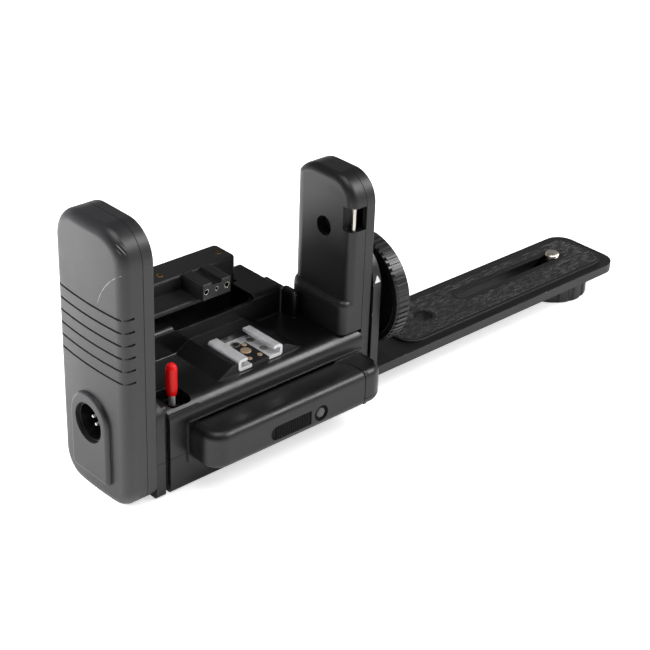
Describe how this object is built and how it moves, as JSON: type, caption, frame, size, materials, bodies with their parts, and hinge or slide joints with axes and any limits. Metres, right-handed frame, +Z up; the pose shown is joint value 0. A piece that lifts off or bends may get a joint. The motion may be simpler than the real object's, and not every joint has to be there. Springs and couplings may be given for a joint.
{
  "type": "camera flash bracket",
  "caption": "Battery-powered flash bracket: side hand grip, hot shoe cradle between two uprights, and a pivoting slotted arm with a captive camera screw.",
  "frame": {"origin": "on the table under the crossing of the hot shoe's and the arm pivot's centre lines", "axes": "+X from the hand grip out along the arm, +Y away from the side with the battery bar, +Z up"},
  "size_m": [0.2764, 0.072, 0.1089],
  "materials": {
    "housing_plastic": "black fine-grained moulding",
    "grip_plastic": "black satin moulding",
    "inner_plastic": "dark glassy-smooth moulding inside",
    "cover_plastic": "black satin moulding",
    "button_plastic": "grey satin",
    "connector_plastic": "dark grey satin",
    "shoe_metal": "bright plated sheet",
    "contact_metal": "gold-coloured plating",
    "insulation": "dark insulating sheet",
    "screw_brass": "yellow passivated",
    "screw_steel": "black oxide",
    "plated_steel": "bright nickel plate",
    "spring_steel": "plain",
    "cell_jacket": "plain lacquered jacket",
    "board": "green lacquer",
    "red_sleeve": "glossy red",
    "arm_metal": "black painted",
    "mat_rubber": "fine chequered black rubber",
    "dial_plastic": "black ribbed moulding",
    "fibre": "dark brown fibre"
  },
  "bodies": {
    "base": {"lower_shell": "housing_plastic", "upper_shell": "housing_plastic", "shell_screws": "screw_steel", "grip_outer_shell": "grip_plastic", "grip_inner_shell": "grip_plastic", "grip_screws": "screw_steel", "terminal_socket": "inner_plastic", "terminal_pins": "plated_steel", "battery_holder": "inner_plastic", "battery_cells": "cell_jacket", "rear_contacts": "spring_steel", "circuit_board": "board", "hot_shoe": "shoe_metal", "shoe_contact_plate": "insulation", "lock_ring": "plated_steel", "shoe_screws": "plated_steel", "terminal_box": "housing_plastic", "box_screws": "screw_brass", "connector_block": "connector_plastic", "connector_sleeves": "plated_steel", "toggle_body": "inner_plastic", "toggle_nut": "plated_steel", "upright_inner_shell": "housing_plastic", "upright_outer_plate": "housing_plastic", "upright_screws": "screw_steel", "strap_pin": "plated_steel", "threaded_insert": "screw_brass", "friction_washer": "fibre"},
    "battery_cover": {"battery_cover": "cover_plastic", "front_contacts": "spring_steel", "button_spring": "spring_steel"},
    "lock_button": {"lock_button": "button_plastic"},
    "toggle": {"toggle_lever": "plated_steel", "lever_sleeve": "red_sleeve"},
    "arm": {"l_bracket": "arm_metal", "arm_mat": "mat_rubber"},
    "lock_dial": {"lock_dial": "dial_plastic", "dial_stud": "spring_steel", "dial_cap": "dial_plastic"},
    "screw_slider": {"screw_slider": "plated_steel"},
    "camera_screw": {"camera_screw": "plated_steel", "camera_knob": "dial_plastic"},
    "centre_contact": {"centre_contact": "contact_metal"},
    "rear_contact": {"rear_contact": "contact_metal"},
    "front_right_contact": {"front_right_contact": "contact_metal"},
    "front_left_contact": {"front_left_contact": "contact_metal"}
  },
  "joints": [
    {"name": "battery_cover_slide", "type": "slide", "parent": "base", "child": "battery_cover", "axis": [-1, 0, 0], "range_m": [0, 0.008]},
    {"name": "lock_button_press", "type": "slide", "parent": "battery_cover", "child": "lock_button", "axis": [0, 1, 0], "range_m": [0, 0.0012], "stiffness_N_per_m": 400, "springref_m": -0.0005},
    {"name": "toggle_swing", "type": "hinge", "parent": "base", "child": "toggle", "pos_m": [-0.0393, -0.01, 0.0284], "axis": [1, 0, 0], "range_deg": [-12, 12]},
    {"name": "arm_pivot", "type": "hinge", "parent": "base", "child": "arm", "pos_m": [0.0546, 0, 0.042], "axis": [1, 0, 0], "range_deg": [-90, 90]},
    {"name": "lock_dial_turn", "type": "hinge", "parent": "base", "child": "lock_dial", "pos_m": [0.0546, 0, 0.042], "axis": [1, 0, 0], "continuous": true},
    {"name": "screw_slide", "type": "slide", "parent": "arm", "child": "screw_slider", "axis": [-1, 0, 0], "range_m": [0, 0.056]},
    {"name": "camera_screw_turn", "type": "hinge", "parent": "screw_slider", "child": "camera_screw", "pos_m": [0.18595, 0.00296, 0.0115], "axis": [0, 0, 1], "continuous": true},
    {"name": "centre_contact_press", "type": "slide", "parent": "base", "child": "centre_contact", "axis": [0, 0, -1], "range_m": [0, 0.0006], "stiffness_N_per_m": 300, "springref_m": -0.0005},
    {"name": "rear_contact_press", "type": "slide", "parent": "base", "child": "rear_contact", "axis": [0, 0, -1], "range_m": [0, 0.0006], "stiffness_N_per_m": 300, "springref_m": -0.0005},
    {"name": "front_right_contact_press", "type": "slide", "parent": "base", "child": "front_right_contact", "axis": [0, 0, -1], "range_m": [0, 0.0006], "stiffness_N_per_m": 300, "springref_m": -0.0005},
    {"name": "front_left_contact_press", "type": "slide", "parent": "base", "child": "front_left_contact", "axis": [0, 0, -1], "range_m": [0, 0.0006], "stiffness_N_per_m": 300, "springref_m": -0.0005}
  ]
}
